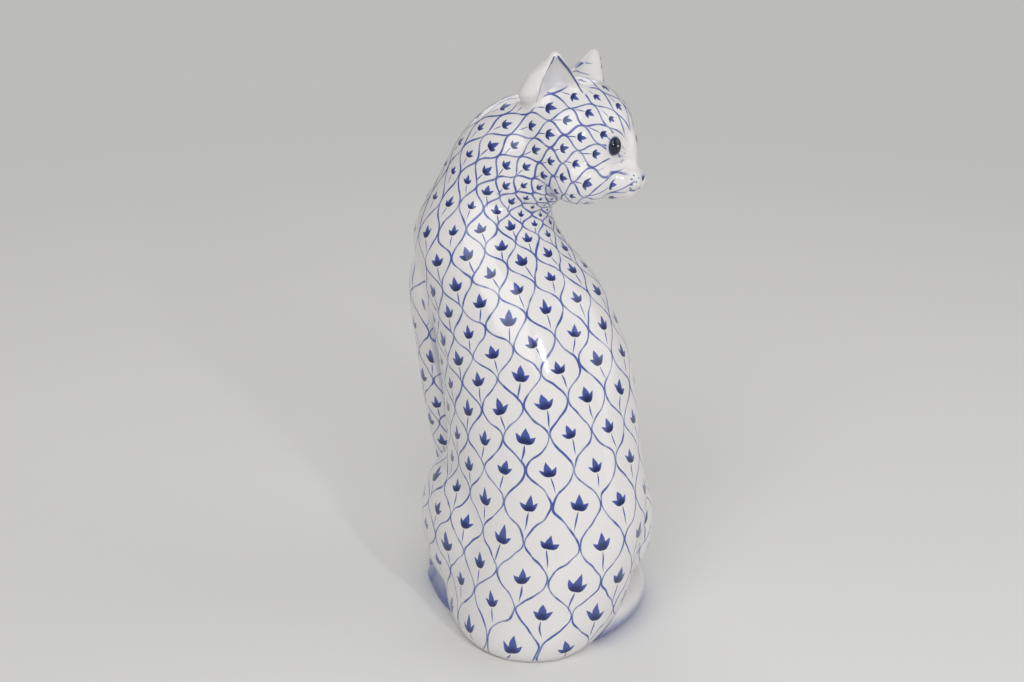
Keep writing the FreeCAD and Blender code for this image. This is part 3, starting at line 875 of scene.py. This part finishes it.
# ---------------------------------------------------------------- Nose
# A small pad pressed on at the muzzle's tip, wider above than below, washed with cobalt that is
# dense in the nostrils.
NOSE_MIDDLE = on_face(np.array([sum(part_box("nose"), Vector()) / 2]))[0]
NOSE_SINK = np.array((0, -0.9, 0.1))     # how far the pad is pressed in
NOSTRIL_APART, NOSTRIL_DROP = 1.5, 0.7   # a nostril's place from the pad's middle
material, w, shader = glazed_material("cobalt_nose")
nose_at = place_kept(w, "nose_place")
from_nostril = w.length(w.less(w.math("ABSOLUTE", nose_at[0]), NOSTRIL_APART),
                        w.total(nose_at[2], NOSTRIL_DROP))
share = w.strongest(w.fade(from_nostril, 1.2, 0.4), w.fade(nose_at[2], 0.3, -1.2))
washed = w.blend(w.fade(nose_at[2], 1.4, 0.2, 0.25, 1.0), GLAZE_WHITE, COBALT_WASH)
w.feed(shader.inputs["Base Color"], w.blend(share, washed, COBALT_DENSE))
bpy.ops.object.select_all(action="DESELECT")
bpy.ops.mesh.primitive_uv_sphere_add(segments=40, ring_count=24, radius=1.0)
pad = bpy.context.object
pad.name = pad.data.name = "nose_pad"
ball = points_of(pad)
narrowing = 1 - 0.4 * smooth_step(-ball[:, 2], -0.4, 1.0)
ball[:, 0] *= 2.6 * narrowing
ball[:, 1] *= 1.5
ball[:, 2] *= 1.8
for nostril in (-NOSTRIL_APART, NOSTRIL_APART):
    away = ((ball[:, 0] - nostril) / 0.9) ** 2 + ((ball[:, 2] + NOSTRIL_DROP) / 0.7) ** 2
    ball[:, 1] -= np.where(ball[:, 1] > 0, 0.5 * np.exp(-away), 0)
keep_places(pad, "nose_place", ball)
move_points(pad, off_face(ball + NOSE_MIDDLE + NOSE_SINK))
bpy.ops.object.shade_smooth()
pad.data.materials.append(material)
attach(pad, "root")
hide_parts("nose")

# ---------------------------------------------------------------- Floor, lights and camera
# A plain pale floor that fades into the studio behind it, and soft lamps round the cat.
STUDIO_PALE = (0.49, 0.487, 0.48, 1)
FLOOR_PALE = (0.8, 0.8, 0.79, 1)
bpy.ops.object.select_all(action="DESELECT")
bpy.ops.mesh.primitive_plane_add(size=60.0, location=(0, 0, 0))
floor = bpy.context.object
floor.name = "floor"
material = bpy.data.materials.new("pale_floor")
material.use_nodes = True
shader = material.node_tree.nodes["Principled BSDF"]
shader.inputs["Roughness"].default_value = 1.0
shader.inputs["Specular IOR Level"].default_value = 0.1
shader.inputs["Emission Color"].default_value = STUDIO_PALE
# Far from the cat the floor is as pale as the studio behind it, with no edge between them.
w = Wiring(material.node_tree)
away = w.node("VectorMath", {0: w.node("TexCoord").outputs["Object"]}, operation="LENGTH")
far = w.product(w.fade(away.outputs["Value"], 0.3, 1.2),
                w.node("LightPath").outputs["Is Camera Ray"])
w.feed(shader.inputs["Base Color"], w.blend(far, FLOOR_PALE, (0.0, 0.0, 0.0, 1)))
w.feed(shader.inputs["Emission Strength"], far)
floor.data.materials.append(material)

# Name, place, width in metres and watts of each lamp. The glint is small and close.
LAMPS = (("key", (1.2, 1.9, 2.0), 2.4, 38.0), ("fill", (-2.0, 0.9, 1.2), 1.8, 9.0),
         ("front", (-0.6, -2.3, 1.7), 2.2, 15.0), ("glint", (-0.01, 0.716, 0.41), 0.04, 1.0))
LAMPS_AIM = Vector((0, 0, 0.12))
for name, location, size, watts in LAMPS:
    light = bpy.data.lights.new(name, "AREA")
    light.size = size
    light.energy = watts
    lamp = bpy.data.objects.new(name, light)
    lamp.location = location
    lamp.rotation_euler = (LAMPS_AIM - lamp.location).to_track_quat("-Z", "Y").to_euler()
    bpy.context.scene.collection.objects.link(lamp)

world = bpy.data.worlds.new("studio")
bpy.context.scene.world = world
world.use_nodes = True
w = Wiring(world.node_tree)
sky = world.node_tree.nodes["Background"]
seen = w.node("LightPath").outputs["Is Camera Ray"]
w.feed(sky.inputs["Color"], w.blend(seen, (1.0, 0.985, 0.97, 1), STUDIO_PALE))
w.feed(sky.inputs["Strength"], w.fade(seen, 0.0, 1.0, 0.34, 1.0))

CAMERA_PLACE = Vector((0.2465, 0.5839, 0.32375))
CAMERA_WAY = Vector((-0.375, -0.927, -math.tan(math.radians(18.0))))
camera = bpy.data.objects.new("camera", bpy.data.cameras.new("camera"))
camera.location = CAMERA_PLACE
camera.rotation_euler = CAMERA_WAY.to_track_quat("-Z", "Y").to_euler()
camera.data.lens = 55.2
camera.data.sensor_width = 36.0
bpy.context.scene.collection.objects.link(camera)
bpy.context.scene.camera = camera
bpy.context.scene.view_settings.view_transform = "Standard"
